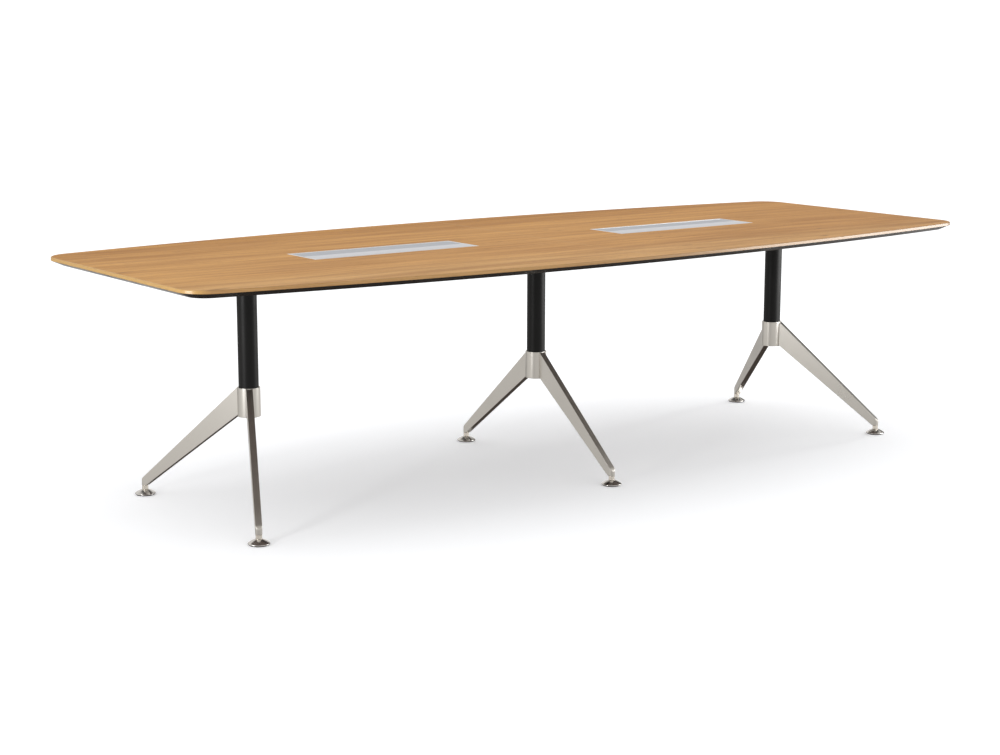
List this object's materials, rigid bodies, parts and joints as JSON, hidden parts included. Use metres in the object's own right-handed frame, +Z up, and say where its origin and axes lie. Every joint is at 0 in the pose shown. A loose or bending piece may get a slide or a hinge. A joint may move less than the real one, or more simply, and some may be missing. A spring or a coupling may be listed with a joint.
{
  "type": "conference table",
  "caption": "Boat-shaped veneered conference table with a bevelled black under-edge, lidded cable boxes and round columns on splayed blade legs with levelling feet.",
  "frame": {"origin": "on the floor under the middle of the top", "axes": "+X along the length of the top, to the right in the picture; +Y across it, away from the camera; +Z up"},
  "size_m": [3, 1.2, 0.75],
  "materials": {
    "oak_veneer": "oak veneer, satin lacquer",
    "black_lacquer": "black satin lacquer on board",
    "anodised_aluminium": "brushed and clear anodised",
    "black_powder_coat": "fine black powder coat",
    "satin_nickel": "satin nickel plate on die casting",
    "chrome": "polished chrome plate",
    "zinc_steel": "bright zinc plate",
    "black_rubber": "moulded black rubber",
    "black_plastic": "moulded black plastic"
  },
  "bodies": {
    "frame": {"left_face_board": "oak_veneer", "left_base_board": "black_lacquer", "right_face_board": "oak_veneer", "right_base_board": "black_lacquer", "front_joint_plate": "zinc_steel", "back_joint_plate": "zinc_steel", "left_box_bezel": "anodised_aluminium", "left_box_tray": "black_powder_coat", "left_box_rod_front": "zinc_steel", "left_box_rod_back": "zinc_steel", "right_box_bezel": "anodised_aluminium", "right_box_tray": "black_powder_coat", "right_box_rod_front": "zinc_steel", "right_box_rod_back": "zinc_steel", "left_top_plate": "black_powder_coat", "left_column": "black_powder_coat", "left_collar": "satin_nickel", "left_end_cap": "black_plastic", "left_leg_front": "satin_nickel", "left_leg_bolt_front": "zinc_steel", "left_leg_back": "satin_nickel", "left_leg_bolt_back": "zinc_steel", "middle_top_plate": "black_powder_coat", "middle_column": "black_powder_coat", "middle_collar": "satin_nickel", "middle_end_cap": "black_plastic", "middle_leg_front": "satin_nickel", "middle_leg_bolt_front": "zinc_steel", "middle_leg_back": "satin_nickel", "middle_leg_bolt_back": "zinc_steel", "right_top_plate": "black_powder_coat", "right_column": "black_powder_coat", "right_collar": "satin_nickel", "right_end_cap": "black_plastic", "right_leg_front": "satin_nickel", "right_leg_bolt_front": "zinc_steel", "right_leg_back": "satin_nickel", "right_leg_bolt_back": "zinc_steel"},
    "left_front_lid": {"left_box_lid_front": "anodised_aluminium"},
    "left_back_lid": {"left_box_lid_back": "anodised_aluminium"},
    "right_front_lid": {"right_box_lid_front": "anodised_aluminium"},
    "right_back_lid": {"right_box_lid_back": "anodised_aluminium"},
    "left_front_pad": {"left_pad_front": "black_rubber"},
    "left_front_foot": {"left_stem_front": "zinc_steel", "left_glide_front": "chrome"},
    "left_back_pad": {"left_pad_back": "black_rubber"},
    "left_back_foot": {"left_stem_back": "zinc_steel", "left_glide_back": "chrome"},
    "middle_front_pad": {"middle_pad_front": "black_rubber"},
    "middle_front_foot": {"middle_stem_front": "zinc_steel", "middle_glide_front": "chrome"},
    "middle_back_pad": {"middle_pad_back": "black_rubber"},
    "middle_back_foot": {"middle_stem_back": "zinc_steel", "middle_glide_back": "chrome"},
    "right_front_pad": {"right_pad_front": "black_rubber"},
    "right_front_foot": {"right_stem_front": "zinc_steel", "right_glide_front": "chrome"},
    "right_back_pad": {"right_pad_back": "black_rubber"},
    "right_back_foot": {"right_stem_back": "zinc_steel", "right_glide_back": "chrome"}
  },
  "joints": [
    {"name": "left_front_lid_hinge", "type": "hinge", "parent": "frame", "child": "left_front_lid", "pos_m": [-0.588, -0.0715, 0.747], "axis": [1, 0, 0], "range_deg": [0, 95]},
    {"name": "left_back_lid_hinge", "type": "hinge", "parent": "frame", "child": "left_back_lid", "pos_m": [-0.588, 0.0715, 0.747], "axis": [-1, 0, 0], "range_deg": [0, 95]},
    {"name": "right_front_lid_hinge", "type": "hinge", "parent": "frame", "child": "right_front_lid", "pos_m": [0.588, -0.0715, 0.747], "axis": [1, 0, 0], "range_deg": [0, 95]},
    {"name": "right_back_lid_hinge", "type": "hinge", "parent": "frame", "child": "right_back_lid", "pos_m": [0.588, 0.0715, 0.747], "axis": [-1, 0, 0], "range_deg": [0, 95]},
    {"name": "left_front_foot_lift", "type": "slide", "parent": "frame", "child": "left_front_pad", "axis": [0, 0, -1], "range_m": [0, 0.015]},
    {"name": "left_front_foot_turn", "type": "hinge", "parent": "left_front_pad", "child": "left_front_foot", "pos_m": [-1.24647, -0.35772, 0], "axis": [0, 0, -1], "range_deg": [0, 3600]},
    {"name": "left_back_foot_lift", "type": "slide", "parent": "frame", "child": "left_back_pad", "axis": [0, 0, -1], "range_m": [0, 0.015]},
    {"name": "left_back_foot_turn", "type": "hinge", "parent": "left_back_pad", "child": "left_back_foot", "pos_m": [-1.24647, 0.35772, 0], "axis": [0, 0, -1], "range_deg": [0, 3600]},
    {"name": "middle_front_foot_lift", "type": "slide", "parent": "frame", "child": "middle_front_pad", "axis": [0, 0, -1], "range_m": [0, 0.015]},
    {"name": "middle_front_foot_turn", "type": "hinge", "parent": "middle_front_pad", "child": "middle_front_foot", "pos_m": [0, -0.398, 0], "axis": [0, 0, -1], "range_deg": [0, 3600]},
    {"name": "middle_back_foot_lift", "type": "slide", "parent": "frame", "child": "middle_back_pad", "axis": [0, 0, -1], "range_m": [0, 0.015]},
    {"name": "middle_back_foot_turn", "type": "hinge", "parent": "middle_back_pad", "child": "middle_back_foot", "pos_m": [0, 0.398, 0], "axis": [0, 0, -1], "range_deg": [0, 3600]},
    {"name": "right_front_foot_lift", "type": "slide", "parent": "frame", "child": "right_front_pad", "axis": [0, 0, -1], "range_m": [0, 0.015]},
    {"name": "right_front_foot_turn", "type": "hinge", "parent": "right_front_pad", "child": "right_front_foot", "pos_m": [1.24647, -0.35772, 0], "axis": [0, 0, -1], "range_deg": [0, 3600]},
    {"name": "right_back_foot_lift", "type": "slide", "parent": "frame", "child": "right_back_pad", "axis": [0, 0, -1], "range_m": [0, 0.015]},
    {"name": "right_back_foot_turn", "type": "hinge", "parent": "right_back_pad", "child": "right_back_foot", "pos_m": [1.24647, 0.35772, 0], "axis": [0, 0, -1], "range_deg": [0, 3600]}
  ],
  "couplings": [
    {"joint": "left_front_foot_turn", "follows": "left_front_foot_lift", "rad_per_m": 4188.8},
    {"joint": "left_back_foot_turn", "follows": "left_back_foot_lift", "rad_per_m": 4188.8},
    {"joint": "middle_front_foot_turn", "follows": "middle_front_foot_lift", "rad_per_m": 4188.8},
    {"joint": "middle_back_foot_turn", "follows": "middle_back_foot_lift", "rad_per_m": 4188.8},
    {"joint": "right_front_foot_turn", "follows": "right_front_foot_lift", "rad_per_m": 4188.8},
    {"joint": "right_back_foot_turn", "follows": "right_back_foot_lift", "rad_per_m": 4188.8}
  ]
}
